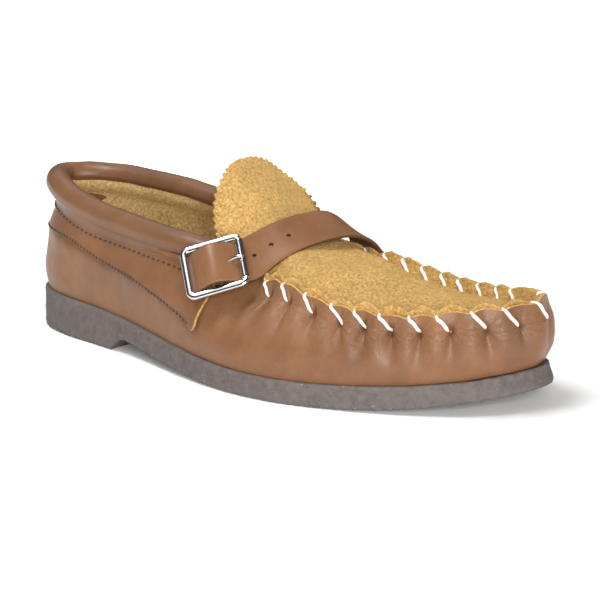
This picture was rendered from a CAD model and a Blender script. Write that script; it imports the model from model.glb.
"""Looks of the laced moccasin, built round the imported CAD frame.

Lengths in the tables are millimetres, as in part.py.  "station" s is the distance from the back of
the heel towards the toe, and t runs from 0 to 1 round the sole's edge from the back of the heel,
along the outer side, round the toe and back.  A point of the upper is given by t, its distance d
inwards of the sole's edge, and its height z.
"""

from math import pi, radians

import bmesh
import bpy
import numpy as np
from mathutils import Euler, Matrix, Vector, noise


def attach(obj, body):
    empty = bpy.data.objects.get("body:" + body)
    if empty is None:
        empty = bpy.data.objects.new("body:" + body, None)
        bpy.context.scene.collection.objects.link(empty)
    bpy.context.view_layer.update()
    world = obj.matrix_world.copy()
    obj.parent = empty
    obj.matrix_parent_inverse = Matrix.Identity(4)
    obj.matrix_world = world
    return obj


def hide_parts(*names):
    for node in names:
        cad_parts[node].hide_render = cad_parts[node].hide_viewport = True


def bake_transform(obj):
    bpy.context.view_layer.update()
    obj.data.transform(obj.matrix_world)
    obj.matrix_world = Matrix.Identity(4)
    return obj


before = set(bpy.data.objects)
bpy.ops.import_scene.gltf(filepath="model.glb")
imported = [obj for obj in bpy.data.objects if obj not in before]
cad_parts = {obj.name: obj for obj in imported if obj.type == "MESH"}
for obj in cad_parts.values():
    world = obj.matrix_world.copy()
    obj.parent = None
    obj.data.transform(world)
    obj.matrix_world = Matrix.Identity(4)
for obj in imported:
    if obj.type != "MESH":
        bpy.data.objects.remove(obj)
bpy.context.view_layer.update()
MM = 0.001
rng = np.random.default_rng(11)


def added(name, data):
    """A new object, linked to the scene."""
    made = bpy.data.objects.new(name, data)
    bpy.context.scene.collection.objects.link(made)
    return made


# ---- camera ---------------------------------------------------------------------------------------
CAMERA_AT = (-0.74005, -0.61926, 0.25145)     # metres
CAMERA_TURN = -51.096                         # degrees about Z, from looking along +Y
CAMERA_DOWN = 12.979                          # degrees that it looks down
CAMERA_LENS = 127.72                          # mm, on a sensor 36 mm wide

camera = added("camera", bpy.data.cameras.new("camera"))
camera.data.sensor_width = 36.0
camera.data.lens = CAMERA_LENS
camera.data.clip_end = 50.0
turned = Euler([radians(a) for a in (90 - CAMERA_DOWN, 0, CAMERA_TURN)]).to_matrix().to_4x4()
camera.matrix_world = Matrix.Translation(CAMERA_AT) @ turned
bpy.context.scene.camera = camera

# ---- the CAD's own numbers ------------------------------------------------------------------------
SOLE_LENGTH = 285.0
WELT_LEDGE = 2.2
UPPER_BULGE = 1.5
UPPER_CURL = 1.9
PLAN_POINTS = [
    (7.2, 0), (-9.0, 8), (-17.6, 20), (-24.0, 40), (-29.6, 70), (-39.0, 105), (-49.0, 140),
    (-54.2, 175), (-51.8, 200), (-44.2, 225), (-32.6, 250), (-19.6, 268), (-3.6, 280),
    (14.6, 285), (30.0, 280.5), (40.4, 269), (49.0, 251), (53.8, 227), (54.0, 200),
    (50.2, 172), (42.4, 140), (36.4, 105), (35.0, 70), (34.6, 40), (31.0, 20), (23.0, 8)]
SOLE_TOP = [(-5, 19.8), (60, 18.1), (100, 15.1), (150, 11.1), (190, 10.1), (230, 11.1),
            (260, 13.6), (290, 18.3)]
TOP_FRONT = [(176, 50.0), (190, 49.4), (205, 46.6), (220, 44), (235, 43), (250, 43.2),
             (268, 45.2), (285, 46)]
TOP_LATERAL = [(0, 79), (15, 77.5), (31, 74), (57, 68.7), (90, 65), (124, 61.5), (140, 58.5),
               (150, 53.6), (158, 49.4), (166, 48.4)] + TOP_FRONT
TOP_MEDIAL = [(0, 79), (15, 78.5), (48, 77), (75, 75), (100, 71.5), (124, 66.5), (142, 61),
              (160, 55), (176, 52.0), (190, 50.2)] + TOP_FRONT[2:]
INSET_LATERAL = [(0, 5), (80, 6), (105, 10), (124, 16.5), (140, 23.5), (156, 26.5), (170, 25),
                 (185, 21), (200, 17.5), (220, 13.5), (235, 11), (250, 8.5), (268, 5.5), (285, 4)]
INSET_MEDIAL = [(0, 5), (80, 5.5), (110, 7.5), (130, 10.5), (160, 12), (190, 12), (210, 11),
                (235, 9.5), (250, 8), (268, 5.5), (285, 4)]
CROWN = [(145, 73.4), (150, 69.6), (158, 63.1), (168, 59.0), (180, 56.0), (195, 52.8), (210, 50),
         (225, 47), (240, 44.8), (260, 43.4), (290, 43.6)]
QUARTER_SEAM = [(-10, 50), (39, 47.5), (63, 42), (98, 36), (115, 32), (131, 27.3), (141, 24)]


def curve(knots, at):
    """Height of the smooth curve through the knots, for an array of stations."""
    x, z = np.array(knots, dtype=float).T
    at = np.clip(np.asarray(at, dtype=float), x[0], x[-1])
    slope = np.gradient(z, x)
    i = np.clip(np.searchsorted(x, at, side="right") - 1, 0, len(x) - 2)
    h = x[i + 1] - x[i]
    u = (at - x[i]) / h
    return (
        z[i] * (1 + 2 * u) * (1 - u) ** 2
        + z[i + 1] * u * u * (3 - 2 * u)
        + h * (slope[i] * u * (1 - u) ** 2 - slope[i + 1] * u * u * (1 - u))
    )


def ramp(x, low, high):
    """0 below low, 1 above high, smooth between."""
    u = np.clip((np.asarray(x, dtype=float) - low) / (high - low), 0, 1)
    return u * u * (3 - 2 * u)


def unit(v):
    """The vectors at length 1."""
    return v / np.linalg.norm(v, axis=-1, keepdims=True)


def distances(path):
    """Distance walked to each point of a path."""
    return np.concatenate([[0], np.cumsum(np.linalg.norm(np.diff(path, axis=0), axis=1))])


def levels(low, high, rows, bunch=1.0):
    """Heights from low to high at each place, and their shares of the way up."""
    share = np.linspace(0, 1, rows) ** bunch
    return low[:, None] + (high - low)[:, None] * share[None, :], share


def closed_spline(points, count):
    """Points along the periodic cubic spline through the given points."""
    p = np.array(points, dtype=float)
    m = len(p)
    after = np.roll(p, -1, axis=0)
    h = np.hypot(*(after - p).T)
    matrix = np.zeros((m, m))
    right = np.zeros((m, 2))
    for i in range(m):
        j, k = (i - 1) % m, (i + 1) % m
        matrix[i, j] += h[j]
        matrix[i, i] += 2 * (h[j] + h[i])
        matrix[i, k] += h[i]
        right[i] = 6 * ((p[k] - p[i]) / h[i] - (p[i] - p[j]) / h[j])
    bend = np.linalg.solve(matrix, right)
    knots = np.concatenate([[0], np.cumsum(h)])
    t = np.linspace(0, knots[-1], count + 1)
    i = np.clip(np.searchsorted(knots, t, side="right") - 1, 0, m - 1)
    k = (i + 1) % m
    a = ((knots[i + 1] - t) / h[i])[:, None]
    b = 1 - a
    lift = ((a ** 3 - a) * bend[i] + (b ** 3 - b) * bend[k]) * (h[i] ** 2)[:, None] / 6
    return a * p[i] + b * p[k] + lift


PLAN = closed_spline([(x, SOLE_LENGTH / 2 - s) for x, s in PLAN_POINTS], 3000)
walked = distances(PLAN)
PERIMETER = walked[-1]
WALKED = walked / PERIMETER
T_TOE = float(WALKED[np.argmin(PLAN[:, 1])])


def plan(t):
    """Point of the sole's edge at t."""
    t = np.asarray(t, dtype=float) % 1.0
    return np.stack([np.interp(t, WALKED, PLAN[:, 0]), np.interp(t, WALKED, PLAN[:, 1])], axis=-1)


def place(side, s):
    """t of the station s on one side of the shoe."""
    on = WALKED <= T_TOE if side == "lateral" else WALKED >= T_TOE
    stations = SOLE_LENGTH / 2 - PLAN[on, 1]
    return float(WALKED[on][np.argmin(abs(stations - s))])


def beside_heel(side, share):
    """t a small share of the way round from the back of the heel, on one side."""
    return share if side == "lateral" else 1 - share


def level(s):
    """Height of the sole's upper surface."""
    stations = np.linspace(-5, SOLE_LENGTH + 5, 15)
    return np.interp(s, stations, curve(SOLE_TOP, stations))


class Round:
    """Places round the upper, one for each t."""

    def __init__(self, t):
        self.t = np.atleast_1d(np.asarray(t, dtype=float))
        step = 0.002
        ahead = unit(plan(self.t + step) - plan(self.t - step))
        self.foot = plan(self.t)
        self.inward = np.stack([-ahead[:, 1], ahead[:, 0]], axis=-1)
        self.s = SOLE_LENGTH / 2 - self.foot[:, 1]
        outer = (self.t % 1.0) < T_TOE
        self.top = np.where(outer, curve(TOP_LATERAL, self.s), curve(TOP_MEDIAL, self.s))
        self.inset = np.where(outer, curve(INSET_LATERAL, self.s), curve(INSET_MEDIAL, self.s))
        self.base = level(self.s)

    def at(self, d, z):
        """Points d inwards of the edge and z high; d and z are (places,) or (places, rows)."""
        d, z = np.asarray(d, dtype=float), np.asarray(z, dtype=float)
        if d.ndim == 1:
            d = d[:, None]
        if z.ndim == 1:
            z = z[:, None]
        d, z = np.broadcast_arrays(d, z)
        xy = self.foot[:, None, :] + self.inward[:, None, :] * d[:, :, None]
        return np.concatenate([xy, z[:, :, None]], axis=2)

    def wall(self, z, offset=0.0):
        """d of the upper's outer face at the heights z (places, rows)."""
        base, top = self.base[:, None], self.top[:, None]
        v = np.clip((z - base) / (top - base), 0, 1)
        lean = (self.inset[:, None] - WELT_LEDGE) * v ** UPPER_CURL
        return WELT_LEDGE + lean - UPPER_BULGE * np.sin(pi * v) + offset


def roughness(points, size, amount, seed=0.0):
    """Noise in millimetres at (…, 3) points, features about size across."""
    flat = points.reshape(-1, 3)
    shift = Vector((seed, seed * 1.7, seed * 0.3))
    found = [noise.noise(Vector(p) / size + shift) for p in flat]
    return np.array(found).reshape(points.shape[:-1]) * amount


# ---- materials ------------------------------------------------------------------------------------
class Look:
    """A node material built a node at a time."""

    def __init__(self, name):
        self.material = bpy.data.materials.new(name)
        self.material.use_nodes = True
        self.tree = self.material.node_tree
        self.tree.nodes.clear()
        self.output = self.node("ShaderNodeOutputMaterial")
        self.shader = self.node("ShaderNodeBsdfPrincipled")
        self.join(self.shader, "BSDF", self.output, "Surface")
        self.where = self.node("ShaderNodeTexCoord")

    def node(self, kind, inputs=None, **settings):
        made = self.tree.nodes.new(kind)
        for key, value in settings.items():
            setattr(made, key, value)
        for key, value in (inputs or {}).items():
            made.inputs[key].default_value = value
        return made

    def join(self, a, out, b, into):
        self.tree.links.new(a.outputs[out], b.inputs[into])

    def set(self, **values):
        for key, value in values.items():
            self.shader.inputs[key.replace("_", " ")].default_value = value
        return self

    def noise(self, scale, detail=3.0, rough=0.55, stretch=None, distortion=0.0):
        tex = self.node("ShaderNodeTexNoise", {"Scale": scale, "Detail": detail, "Roughness": rough,
                                               "Distortion": distortion})
        self.place(tex, stretch)
        return tex

    def cells(self, scale, feature="F1", stretch=None):
        tex = self.node("ShaderNodeTexVoronoi", {"Scale": scale}, feature=feature)
        self.place(tex, stretch)
        return tex

    def place(self, tex, stretch):
        if stretch:
            mapped = self.node("ShaderNodeMapping", {"Scale": stretch})
            self.join(self.where, "Object", mapped, "Vector")
            self.join(mapped, "Vector", tex, "Vector")
        else:
            self.join(self.where, "Object", tex, "Vector")

    def ramp(self, source, out, stops):
        made = self.node("ShaderNodeValToRGB")
        elements = made.color_ramp.elements
        while len(elements) < len(stops):
            elements.new(0.5)
        for element, (at, colour) in zip(elements, stops):
            element.position = at
            element.color = (*colour, 1)
        self.join(source, out, made, "Fac")
        return made

    def mix(self, kind, factor, a, b):
        """Colour mix; factor is a number or (node, output), a and b are colours or (node, output)."""
        made = self.node("ShaderNodeMix", data_type="RGBA", blend_type=kind)
        for socket, value in (("Factor", factor), ("A", a), ("B", b)):
            target = [s for s in made.inputs if s.name == socket and s.enabled][0]
            if isinstance(value, tuple) and hasattr(value[0], "outputs"):
                self.tree.links.new(value[0].outputs[value[1]], target)
            elif socket == "Factor":
                target.default_value = value
            else:
                target.default_value = (*value, 1)
        return made, "Result"

    def colour_from(self, pair):
        node, out = pair
        socket = [s for s in node.outputs if s.name == out and s.enabled][0]
        self.tree.links.new(socket, self.shader.inputs["Base Color"])

    def bump(self, *layers):
        """layers: ((node, output), strength, distance in mm), from the coarsest to the finest."""
        last = None
        for (node, out), strength, distance in layers:
            made = self.node("ShaderNodeBump", {"Strength": strength, "Distance": distance * MM})
            self.join(node, out, made, "Height")
            if last:
                self.join(last, "Normal", made, "Normal")
            last = made
        self.join(last, "Normal", self.shader, "Normal")

    def rough_from(self, pair, low, high):
        made = self.node("ShaderNodeMapRange", {"To Min": low, "To Max": high})
        self.join(pair[0], pair[1], made, "Value")
        self.join(made, "Result", self.shader, "Roughness")


def shade(colour, k):
    """The colour k times as bright."""
    return tuple(min(c * k, 1.0) for c in colour)


def leather(name, colour, gloss=0.40, wrinkled=False):
    """Smooth full-grain leather: fine pebbled grain, cloudy colour, soft gloss."""
    look = Look(name)
    cloud = look.noise(38, 3, 0.6)
    fine = look.noise(900, 2, 0.6)
    grain = look.cells(1500)
    pores = look.cells(3200)
    tint = look.ramp(cloud, "Fac", [(0.30, shade(colour, 0.80)), (0.52, colour),
                                    (0.74, shade(colour, 1.18))])
    tinted = look.mix("MULTIPLY", 0.35, (tint, "Color"), (fine, "Color"))
    layers = [((cloud, "Fac"), 0.05, 2.0)]
    if wrinkled:
        mark = look.node("ShaderNodeAttribute", attribute_name="pucker")
        crackle = look.cells(760, "DISTANCE_TO_EDGE", (1.4, 1.4, 0.8))
        creases = look.ramp(crackle, "Distance", [(0.0, (0, 0, 0)), (0.12, (1, 1, 1))])
        faded = look.mix("MIX", (mark, "Fac"), (1, 1, 1), (creases, "Color"))
        layers.append((faded, 0.35, 0.30))
        tinted = look.mix("MULTIPLY", 0.12, tinted, faded)
    look.colour_from(tinted)
    layers += [((grain, "Distance"), 0.16, 0.10), ((pores, "Distance"), 0.10, 0.05)]
    look.bump(*layers)
    look.rough_from((cloud, "Fac"), gloss - 0.06, gloss + 0.10)
    look.set(Specular_IOR_Level=0.36, Coat_Weight=0.05, Coat_Roughness=0.30)
    return look.material


def suede(name, colour, nap=1.0):
    """Brushed split leather: tangled fibres, light and dark tufts, no gloss."""
    look = Look(name)
    cloud = look.noise(60, 4, 0.6)
    tufts = look.noise(820, 4, 0.70, distortion=1.0)
    fibres = look.noise(1500, 4, 0.8, (1.0, 0.35, 1.0), 0.8)
    pits = look.cells(760)
    spread = look.ramp(tufts, "Fac", [(0.30, shade(colour, 0.42)), (0.45, shade(colour, 0.86)),
                                      (0.57, colour), (0.72, shade(colour, 1.40))])
    soft = look.ramp(cloud, "Fac", [(0.3, (0.80, 0.80, 0.80)), (0.7, (1.0, 1.0, 1.0))])
    a = look.mix("MULTIPLY", 0.8, (spread, "Color"), (soft, "Color"))
    strands = look.ramp(fibres, "Fac", [(0.34, (0.60, 0.55, 0.50)), (0.52, (1, 1, 1))])
    gaps = look.ramp(pits, "Distance", [(0.25, (1, 1, 1)), (0.80, (0.60, 0.54, 0.46))])
    b = look.mix("MULTIPLY", 0.75, a, (strands, "Color"))
    look.colour_from(look.mix("MULTIPLY", 0.65, b, (gaps, "Color")))
    look.bump(((pits, "Distance"), 0.25 * nap, 0.5), ((tufts, "Fac"), 0.95 * nap, 1.3),
              ((fibres, "Fac"), 0.6 * nap, 0.35))
    look.rough_from((tufts, "Fac"), 0.86, 1.0)
    look.set(Specular_IOR_Level=0.18, Sheen_Weight=0.35, Sheen_Roughness=0.45)
    look.shader.inputs["Sheen Tint"].default_value = (*shade(colour, 1.5), 1)
    return look.material


def rubber(name, colour):
    """Coarse moulded rubber with pale flecks."""
    look = Look(name)
    lumps = look.noise(260, 5, 0.7)
    grit = look.noise(1300, 3, 0.7)
    spots = look.cells(330)
    patch = look.noise(90, 3, 0.6)
    base = look.ramp(lumps, "Fac", [(0.30, shade(colour, 0.72)), (0.55, colour),
                                    (0.80, shade(colour, 1.25))])
    fleck = look.ramp(spots, "Distance", [(0.05, (1, 1, 1)), (0.17, (0, 0, 0))])
    where = look.ramp(patch, "Fac", [(0.50, (0, 0, 0)), (0.62, (1, 1, 1))])
    both = look.mix("MULTIPLY", 1.0, (fleck, "Color"), (where, "Color"))
    look.colour_from(look.mix("MIX", both, (base, "Color"), shade(colour, 2.6)))
    look.bump(((lumps, "Fac"), 0.55, 0.8), ((grit, "Fac"), 0.35, 0.25))
    look.rough_from((grit, "Fac"), 0.62, 0.88)
    look.set(Specular_IOR_Level=0.35)
    return look.material


def cord_look(name, colour):
    """Twisted cord or thread, by its UV map."""
    look = Look(name)
    strands = look.node("ShaderNodeTexWave", {"Scale": 0.55, "Distortion": 0.6, "Detail": 1.0},
                        bands_direction="DIAGONAL")
    look.join(look.where, "UV", strands, "Vector")
    fuzz = look.noise(2600, 3, 0.7)
    tone = look.ramp(strands, "Fac", [(0.0, shade(colour, 0.86)), (0.6, colour)])
    look.colour_from(look.mix("MULTIPLY", 0.12, (tone, "Color"), (fuzz, "Color")))
    look.bump(((strands, "Fac"), 0.25, 0.12), ((fuzz, "Fac"), 0.3, 0.06))
    look.rough_from((fuzz, "Fac"), 0.55, 0.80)
    look.set(Specular_IOR_Level=0.3, Sheen_Weight=0.2)
    return look.material


def metal(name, colour):
    """Plated metal with faint haze and fine scratches."""
    look = Look(name)
    scratches = look.noise(900, 3, 0.6, (1.0, 1.0, 6.0))
    haze = look.noise(160, 3, 0.6)
    tone = look.ramp(haze, "Fac", [(0.3, shade(colour, 0.90)), (0.7, colour)])
    look.colour_from((tone, "Color"))
    look.bump(((scratches, "Fac"), 0.02, 0.02), ((haze, "Fac"), 0.03, 0.1))
    look.rough_from((scratches, "Fac"), 0.07, 0.17)
    look.set(Metallic=1.0)
    return look.material


def porous(name, colour, size, depth, gloss=0.9):
    """Foam or fibre board."""
    look = Look(name)
    holes = look.cells(1000 / size)
    cloud = look.noise(500 / size, 4, 0.7)
    tone = look.ramp(cloud, "Fac", [(0.3, shade(colour, 0.78)), (0.6, colour),
                                    (0.8, shade(colour, 1.15))])
    look.colour_from((tone, "Color"))
    look.bump(((holes, "Distance"), 0.6, depth), ((cloud, "Fac"), 0.4, depth))
    look.rough_from((cloud, "Fac"), gloss - 0.1, gloss)
    look.set(Specular_IOR_Level=0.25)
    return look.material


BROWN = (0.262, 0.120, 0.053)
COLLAR_BROWN = (0.215, 0.100, 0.047)
TAN = (0.860, 0.520, 0.180)
VAMP_LEATHER = leather("vamp_leather", BROWN, 0.40, wrinkled=True)
PANEL_LEATHER = leather("panel_leather", shade(BROWN, 0.96), 0.42)
ROLL_LEATHER = leather("roll_leather", COLLAR_BROWN, 0.38)
STRAP_LEATHER = leather("strap_leather", shade(BROWN, 0.98), 0.36)
APRON_SUEDE = suede("apron_suede", TAN)
RAW_EDGE = suede("raw_edge", shade(TAN, 0.95), 0.6)
DARK_EDGE = suede("dark_raw_edge", (0.16, 0.085, 0.04), 0.6)
LINING_SUEDE = suede("lining_suede", (0.860, 0.600, 0.270), 0.25)
STAY_SUEDE = suede("stay_suede", (0.42, 0.25, 0.07), 0.5)
SOLE_RUBBER = rubber("sole_rubber", (0.138, 0.118, 0.108))
WHITE_CORD = cord_look("white_cord", (0.93, 0.92, 0.90))
THREAD = cord_look("brown_thread", (0.060, 0.030, 0.018))
TAN_THREAD = cord_look("tan_thread", (0.240, 0.150, 0.060))
NICKEL = metal("bright_nickel", (0.72, 0.72, 0.74))
BOARD = porous("fibre_board", (0.42, 0.30, 0.19), 0.8, 0.15)
FOAM = porous("soft_foam", (0.70, 0.66, 0.55), 1.1, 0.35)

# ---- mesh helpers ---------------------------------------------------------------------------------


def piece(name, points, faces, materials, body="shoe", which=None, uv=None, marks=None):
    """A smooth-shaded mesh object riding on a body, from points in millimetres."""
    mesh = bpy.data.meshes.new(name)
    mesh.from_pydata([tuple(p) for p in np.reshape(points, (-1, 3)) * MM], [], faces)
    for material in materials:
        mesh.materials.append(material)
    if which is not None:
        mesh.polygons.foreach_set("material_index", np.asarray(which, dtype=np.int32))
    if uv is not None:
        corners = np.zeros(len(mesh.loops), dtype=np.int32)
        mesh.loops.foreach_get("vertex_index", corners)
        layer = mesh.uv_layers.new(name="UVMap")
        layer.data.foreach_set("uv", np.asarray(uv)[corners].ravel())
    for key, values in (marks or {}).items():
        attribute = mesh.attributes.new(key, "FLOAT", "POINT")
        attribute.data.foreach_set("value", np.asarray(values, dtype=np.float32))
    work = bmesh.new()
    work.from_mesh(mesh)
    bmesh.ops.remove_doubles(work, verts=work.verts, dist=2e-6)
    bmesh.ops.recalc_face_normals(work, faces=work.faces)
    work.to_mesh(mesh)
    work.free()
    mesh.polygons.foreach_set("use_smooth", [True] * len(mesh.polygons))
    made = added(name, mesh)
    if body:
        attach(made, body)
    return made


def baked(obj):
    """Applies the object's modifiers to its mesh."""
    graph = bpy.context.evaluated_depsgraph_get()
    mesh = bpy.data.meshes.new_from_object(obj.evaluated_get(graph))
    obj.modifiers.clear()
    old = obj.data
    obj.data = mesh
    bpy.data.meshes.remove(old)
    mesh.polygons.foreach_set("use_smooth", [True] * len(mesh.polygons))
    return obj


def tube_faces(rows, columns, close_rows=False, close_columns=True, caps=True):
    """Faces of a (rows, columns) lattice of points; columns run round the section."""
    faces = []
    for i in range(rows if close_rows else rows - 1):
        k = (i + 1) % rows
        for j in range(columns if close_columns else columns - 1):
            n = (j + 1) % columns
            faces.append((i * columns + j, i * columns + n, k * columns + n, k * columns + j))
    if caps and close_columns and not close_rows:
        faces.append(tuple(range(columns)))
        faces.append(tuple((rows - 1) * columns + j for j in reversed(range(columns))))
    return faces


def frames(path):
    """Tangent, side and up vectors along a (n, 3) path, carried without twist."""
    tangent = unit(np.gradient(path, axis=0))
    side = np.zeros_like(path)
    side[0] = unit(np.cross(tangent[0], (0.13, 0.21, 0.97)))
    for i in range(1, len(path)):
        side[i] = unit(side[i - 1] - tangent[i] * (side[i - 1] @ tangent[i]))
    return tangent, side, np.cross(tangent, side)


def through(points, count):
    """Centripetal Catmull-Rom curve through the points, sampled evenly in its parameter."""
    p = np.array(points, dtype=float)
    p = np.vstack([2 * p[0] - p[1], p, 2 * p[-1] - p[-2]])
    gaps = np.sqrt(np.linalg.norm(np.diff(p, axis=0), axis=1)) + 1e-9
    knots = np.concatenate([[0], np.cumsum(gaps)])
    out = []
    for t in np.linspace(knots[1], knots[-2], count):
        i = int(np.clip(np.searchsorted(knots, t, side="right") - 1, 1, len(p) - 3))
        k0, k1, k2, k3 = knots[i - 1:i + 3]
        a1 = (k1 - t) / (k1 - k0) * p[i - 1] + (t - k0) / (k1 - k0) * p[i]
        a2 = (k2 - t) / (k2 - k1) * p[i] + (t - k1) / (k2 - k1) * p[i + 1]
        a3 = (k3 - t) / (k3 - k2) * p[i + 1] + (t - k2) / (k3 - k2) * p[i + 2]
        b1 = (k2 - t) / (k2 - k0) * a1 + (t - k0) / (k2 - k0) * a2
        b2 = (k3 - t) / (k3 - k1) * a2 + (t - k1) / (k3 - k1) * a3
        out.append((k2 - t) / (k2 - k1) * b1 + (t - k1) / (k2 - k1) * b2)
    return np.array(out)


def tube(path, radius, columns=12, taper=0.0, flat=1.0):
    """Points, faces and uv of a round tube; taper rounds its two ends over that length."""
    path = np.asarray(path, dtype=float)
    _, side, up = frames(path)
    walked_here = distances(path)
    r = np.full(len(path), float(radius))
    if taper:
        from_end = np.minimum(walked_here, walked_here[-1] - walked_here)
        r *= np.sqrt(np.clip(1 - (1 - np.clip(from_end / taper, 0, 1)) ** 2, 0.02, 1))
    angle = np.linspace(0, 2 * pi, columns, endpoint=False)
    ring = (side[:, None, :] * np.cos(angle)[None, :, None]
            + up[:, None, :] * np.sin(angle)[None, :, None] * flat)
    points = path[:, None, :] + ring * r[:, None, None]
    uv = np.stack(np.broadcast_arrays(walked_here[:, None], angle[None, :] * radius), axis=-1)
    return points.reshape(-1, 3), tube_faces(len(path), columns), uv.reshape(-1, 2)


def join_parts(parts):
    """Joins (points, faces, uv) triples into one."""
    points, faces, uv, count = [], [], [], 0
    for p, f, u in parts:
        points.append(p)
        uv.append(u)
        faces += [tuple(i + count for i in face) for face in f]
        count += len(p)
    return np.vstack(points), faces, np.vstack(uv)


# ---- whip seam: where the stitches are -------------------------------------------------------------
STITCH_GAPS = [1.2, 1.15, 1.1, 0.85, 0.85, 1.0, 0.9, 1.1, 1.05, 1.35, 1.6, 1.7, 0.7, 0.85, 0.85,
               0.7, 0.8, 0.75, 0.75, 0.75]
STITCHES = len(STITCH_GAPS) + 1
T_FIRST, T_LAST = place("lateral", 165.5), place("medial", 171.0)
STITCH_SHARE = np.concatenate([[0], np.cumsum(STITCH_GAPS)]) / sum(STITCH_GAPS)
STITCH_T = T_FIRST + (T_LAST - T_FIRST) * STITCH_SHARE
PITCH_T = (T_LAST - T_FIRST) / (STITCHES - 1)
PITCH = 10.8               # mm, along the seam
SLANT = 0.46               # share of the pitch between a stitch's top and its hole
HOLE_DOWN = 8.4            # hole under the rim's top
LIP_HEIGHT = 8.2           # vamp edge that stands up beside the apron's
LIP_LEAN = 2.6             # how far it leans inwards over that height
LIP = 1.5                  # its thickness
NEAR_STEP = 1.8            # how much higher the apron's edge stands on the outer side
CREASES = [(-1.4, 0.26), (0.1, 0.40), (1.5, 0.42), (2.9, 0.34), (4.4, 0.24), (6.0, 0.14)]
# the curved creases between two stitches: how far each sags, and how deep it is pressed
wobble = rng.uniform(-1, 1, (8, STITCHES + 2))


def lip_share(where):
    """1 where the vamp's edge stands up in the seam, 0 behind the strap."""
    outer = (where.t % 1.0) < T_TOE
    return np.where(outer, ramp(where.s, 156, 166), ramp(where.s, 160, 172))


def stitch_phase(t):
    """Stitch number at t, smooth between the stitches and carried on evenly past the last ones."""
    t = np.asarray(t, dtype=float)
    knots = np.concatenate([[T_FIRST - 3 * PITCH_T], STITCH_T, [T_LAST + 3 * PITCH_T]])
    return np.interp(t, knots, np.concatenate([[-3], np.arange(STITCHES), [STITCHES + 2]]))


def gap_after(k):
    """Gap behind stitch k, in mean pitches."""
    return STITCH_GAPS[min(k, len(STITCH_GAPS) - 1)]


def per_stitch(row, phase):
    """A random number for each stitch, smoothly changing between them."""
    grid = np.arange(-1, STITCHES + 1)
    return np.interp(phase, grid, wobble[row])


def near_side(where):
    """1 on the outer side, 0 on the inner side, smooth round the toe."""
    return 1 - ramp(where.t % 1.0, T_TOE - 0.02, T_TOE + 0.02)


def rim_height(where):
    """Top of the turned-up edge: arched between the stitches, drawn down at them."""
    phase = stitch_phase(where.t)
    u = phase - np.floor(phase)
    arch = np.sin(pi * u ** 0.8) ** 0.7
    toe = 1.3 * ramp(where.s, 258, 280) - NEAR_STEP / 2 * near_side(where)
    return where.top + lip_share(where) * (-1.9 + toe + (1.5 + 0.6 * per_stitch(0, phase)) * arch)


def puckers(where, down):
    """Inward displacement of the vamp, for each place and distance down from the rim (mm)."""
    phase = stitch_phase(where.t)[:, None] + np.zeros_like(down)
    toe = ramp(where.s, 215, 262)[:, None]
    share = lip_share(where)[:, None]
    total = -1.8 * (1 + 0.30 * toe) * (0.5 - 0.5 * np.cos(2 * pi * (phase - SLANT)))
    total = total * np.exp(-((down - 10.5) / (8.5 + 4 * toe)) ** 2)
    below = down - HOLE_DOWN
    for k in range(STITCHES):
        size, lean, reach = wobble[1, k], wobble[2, k], wobble[3, k]
        x = (phase - (k + SLANT) - 0.012 * (lean + 0.3) * np.clip(below, 0, 40)) * PITCH * gap_after(k)
        near = abs(x) < 9
        if not near.any():
            continue
        width = 1.0 + 0.16 * np.clip(below, 0, 20)
        length = (8.0 + 3.5 * reach) * (1 + 0.5 * toe)
        fade = np.where(below > 0, np.exp(-(np.maximum(below, 0) / length) ** 1.3),
                        np.exp(-(below / 2.6) ** 2))
        fold = (2.2 + 0.6 * size) * np.exp(-(x / width) ** 2) * fade
        slit = 2.1 * np.exp(-(x / 0.50) ** 2 - ((below - 0.9) / 1.3) ** 2)
        distance = np.hypot(x, below) + 1e-6
        rays = np.sin(11 * np.arctan2(x, below) + 5 * lean) * np.exp(-distance / 3.8)
        rays = 0.30 * rays * np.clip(distance / 1.2 - 0.4, 0, 1)
        u = np.clip(x / PITCH, 0, 1)
        smile = np.zeros_like(down)
        for sag, amount in CREASES:
            line = below - (0.3 + (sag + 0.5 * size) * np.sin(pi * u))
            along = np.sin(pi * u) ** 0.6 * (1.15 - u) * (0.7 + 0.5 * wobble[4, k])
            smile += amount * np.exp(-(line / 0.42) ** 2) * along
        total += np.where(near, fold + slit + rays + smile, 0)
    return total * share


HOLLOW = 3.0               # how far the upper is drawn in under the collar's roll
VALLEY_DOWN = 13.2         # hollow under the collar's roll, below the top line
HEEL_VALLEY = 2.4          # how much lower it is at the back of the heel
HEEL_IN, HEEL_OUT = 1.5, 1.5   # how far the heel is drawn in above, and swells below


def valley(where):
    """Height of the hollow under the collar's roll."""
    return where.top - VALLEY_DOWN - HEEL_VALLEY * (1 - ramp(where.s, 20, 110))


def hollow(where, z):
    """How far vamp and quarters are drawn in: under the collar, and above the bulge of the heel."""
    end = valley(where)[:, None]
    heel = (1 - ramp(where.s, 5, 60))[:, None]
    drawn = HOLLOW * ramp(z, end - 16, end) + HEEL_IN * heel * ramp(z, 32, 52)
    return drawn - HEEL_OUT * heel * np.exp(-((z - 29.0) / 9.0) ** 2)


# ---- vamp -----------------------------------------------------------------------------------------
RIM_STATION = 150.0        # behind it the vamp's edge goes down to the quarter's seam
RIM_FALL = 22.0            # over this length
SEAM_OVERLAP = 5.0         # vamp under the quarters
TOE_OUT = 1.5              # the most that the toe swells out


def vamp_edge(where):
    """Height where the vamp's leather ends."""
    seam = curve(QUARTER_SEAM, where.s)
    behind = np.clip((RIM_STATION - where.s) / RIM_FALL, 0, 1)
    dropped = where.top - behind * (where.top - seam - SEAM_OVERLAP)
    return np.where(where.s > RIM_STATION - RIM_FALL, dropped, seam + SEAM_OVERLAP)


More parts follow.
